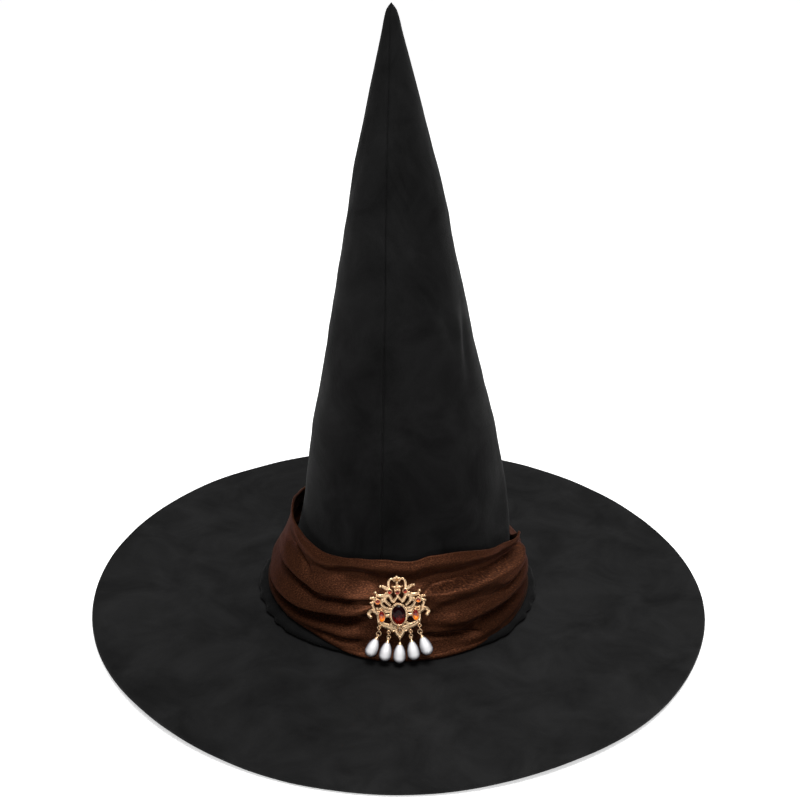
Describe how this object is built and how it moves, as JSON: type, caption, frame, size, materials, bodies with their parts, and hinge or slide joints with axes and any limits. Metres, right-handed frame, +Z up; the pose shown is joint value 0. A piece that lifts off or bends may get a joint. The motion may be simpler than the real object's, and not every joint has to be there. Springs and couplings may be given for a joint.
{
  "type": "witch hat",
  "caption": "Tall pointed black suede witch hat with a wide flat round brim, a pleated brown satin sash round its crown and a gilt stone-set brooch with hanging pearl drops.",
  "frame": {"origin": "centre of the brim's underside, on the surface the hat stands on", "axes": "+Z up along the crown, -Y to the front where the brooch is, +X to the right as the front is looked at"},
  "size_m": [0.425, 0.425, 0.3998],
  "materials": {
    "suede": "black faux suede with a short crushed nap",
    "felt": "stiff pressed felt",
    "lining": "thin black woven lining",
    "steel": "drawn spring wire",
    "satin": "dark brown satin with a copper sheen",
    "gilt": "pale gold plate, polished",
    "red_glass": "deep red cut glass, foiled behind",
    "orange_glass": "orange cut glass, foiled behind",
    "champagne_glass": "champagne cut glass, foiled behind",
    "pearl": "pearl lacquer over a moulded drop"
  },
  "bodies": {
    "hat": {"crown_left_panel": "suede", "crown_right_panel": "suede", "crown_stiffener_left": "felt", "crown_stiffener_right": "felt", "crown_lining": "lining", "sweatband": "lining", "brim_top_fabric": "suede", "brim_bottom_fabric": "suede", "brim_stiffener": "felt", "brim_wire": "steel", "sash": "satin"},
    "brooch": {"brooch_frame": "gilt", "centre_stone": "red_glass", "crest_stone": "champagne_glass", "top_stone_middle": "red_glass", "finial_stone": "champagne_glass", "top_stone_right": "red_glass", "top_stone_left": "red_glass", "upper_stone_right": "orange_glass", "upper_stone_left": "orange_glass", "side_stone_right": "orange_glass", "side_stone_left": "orange_glass", "pin_bar": "gilt", "pin_rivet": "gilt"},
    "pin": {"pin_stem": "steel"},
    "drop_1_upper": {"drop_1_upper_ring": "gilt"},
    "drop_1_lower": {"drop_1_lower_ring": "gilt"},
    "drop_1_pearl": {"drop_1_eye_pin": "gilt", "drop_1_pearl": "pearl"},
    "drop_2_upper": {"drop_2_upper_ring": "gilt"},
    "drop_2_lower": {"drop_2_lower_ring": "gilt"},
    "drop_2_pearl": {"drop_2_eye_pin": "gilt", "drop_2_pearl": "pearl"},
    "drop_3_upper": {"drop_3_upper_ring": "gilt"},
    "drop_3_pearl": {"drop_3_eye_pin": "gilt", "drop_3_pearl": "pearl"},
    "drop_4_upper": {"drop_4_upper_ring": "gilt"},
    "drop_4_lower": {"drop_4_lower_ring": "gilt"},
    "drop_4_pearl": {"drop_4_eye_pin": "gilt", "drop_4_pearl": "pearl"},
    "drop_5_upper": {"drop_5_upper_ring": "gilt"},
    "drop_5_lower": {"drop_5_lower_ring": "gilt"},
    "drop_5_pearl": {"drop_5_eye_pin": "gilt", "drop_5_pearl": "pearl"}
  },
  "joints": [
    {"name": "brooch_lift", "type": "slide", "parent": "hat", "child": "brooch", "axis": [0, -0.9659, 0.2588], "range_m": [0, 0.05]},
    {"name": "pin_open", "type": "hinge", "parent": "brooch", "child": "pin", "pos_m": [0.01276, -0.0859, 0.04039], "axis": [0.0698, -0.2582, -0.9636], "range_deg": [0, 72]},
    {"name": "drop_1_swing", "type": "hinge", "parent": "brooch", "child": "drop_1_upper", "pos_m": [-0.01131, -0.09303, 0.0281], "axis": [-1, 0, 0], "range_deg": [0, 75]},
    {"name": "drop_1_sway", "type": "hinge", "parent": "drop_1_upper", "child": "drop_1_lower", "pos_m": [-0.01131, -0.0936, 0.02595], "axis": [0, 0.9659, -0.2588], "range_deg": [-10, 10]},
    {"name": "drop_1_nod", "type": "hinge", "parent": "drop_1_lower", "child": "drop_1_pearl", "pos_m": [-0.01204, -0.09415, 0.02391], "axis": [-0.9455, 0.0843, 0.3145], "range_deg": [0, 45]},
    {"name": "drop_2_swing", "type": "hinge", "parent": "brooch", "child": "drop_2_upper", "pos_m": [-0.00518, -0.09382, 0.02513], "axis": [-1, 0, 0], "range_deg": [0, 75]},
    {"name": "drop_2_sway", "type": "hinge", "parent": "drop_2_upper", "child": "drop_2_lower", "pos_m": [-0.00518, -0.09424, 0.02355], "axis": [0, 0.9659, -0.2588], "range_deg": [-10, 10]},
    {"name": "drop_2_nod", "type": "hinge", "parent": "drop_2_lower", "child": "drop_2_pearl", "pos_m": [-0.00542, -0.09466, 0.022], "axis": [-0.989, 0.0383, 0.1428], "range_deg": [0, 45]},
    {"name": "drop_3_swing", "type": "hinge", "parent": "brooch", "child": "drop_3_upper", "pos_m": [0.00202, -0.09452, 0.02252], "axis": [-1, 0, 0], "range_deg": [0, 75]},
    {"name": "drop_3_sway", "type": "hinge", "parent": "drop_3_upper", "child": "drop_3_pearl", "pos_m": [0.00202, -0.09495, 0.02094], "axis": [0, 0.9659, -0.2588], "range_deg": [-10, 10]},
    {"name": "drop_4_swing", "type": "hinge", "parent": "brooch", "child": "drop_4_upper", "pos_m": [0.00878, -0.09357, 0.02607], "axis": [-1, 0, 0], "range_deg": [0, 75]},
    {"name": "drop_4_sway", "type": "hinge", "parent": "drop_4_upper", "child": "drop_4_lower", "pos_m": [0.00878, -0.09399, 0.0245], "axis": [0, 0.9659, -0.2588], "range_deg": [-10, 10]},
    {"name": "drop_4_nod", "type": "hinge", "parent": "drop_4_lower", "child": "drop_4_pearl", "pos_m": [0.00901, -0.09441, 0.02294], "axis": [-0.9903, -0.036, -0.1344], "range_deg": [0, 45]},
    {"name": "drop_5_swing", "type": "hinge", "parent": "brooch", "child": "drop_5_upper", "pos_m": [0.01443, -0.09256, 0.02984], "axis": [-1, 0, 0], "range_deg": [0, 75]},
    {"name": "drop_5_sway", "type": "hinge", "parent": "drop_5_upper", "child": "drop_5_lower", "pos_m": [0.01443, -0.09314, 0.02769], "axis": [0, 0.9659, -0.2588], "range_deg": [-10, 10]},
    {"name": "drop_5_nod", "type": "hinge", "parent": "drop_5_lower", "child": "drop_5_pearl", "pos_m": [0.01512, -0.09369, 0.02564], "axis": [-0.9511, -0.08, -0.2985], "range_deg": [0, 45]}
  ],
  "couplings": [
    {"joint": "pin_open", "follows": "brooch_lift", "rad_per_m": 24.4},
    {"joint": "drop_1_sway", "follows": "drop_3_sway", "ratio": 1},
    {"joint": "drop_2_sway", "follows": "drop_3_sway", "ratio": 1},
    {"joint": "drop_4_sway", "follows": "drop_3_sway", "ratio": 1},
    {"joint": "drop_5_sway", "follows": "drop_3_sway", "ratio": 1}
  ]
}
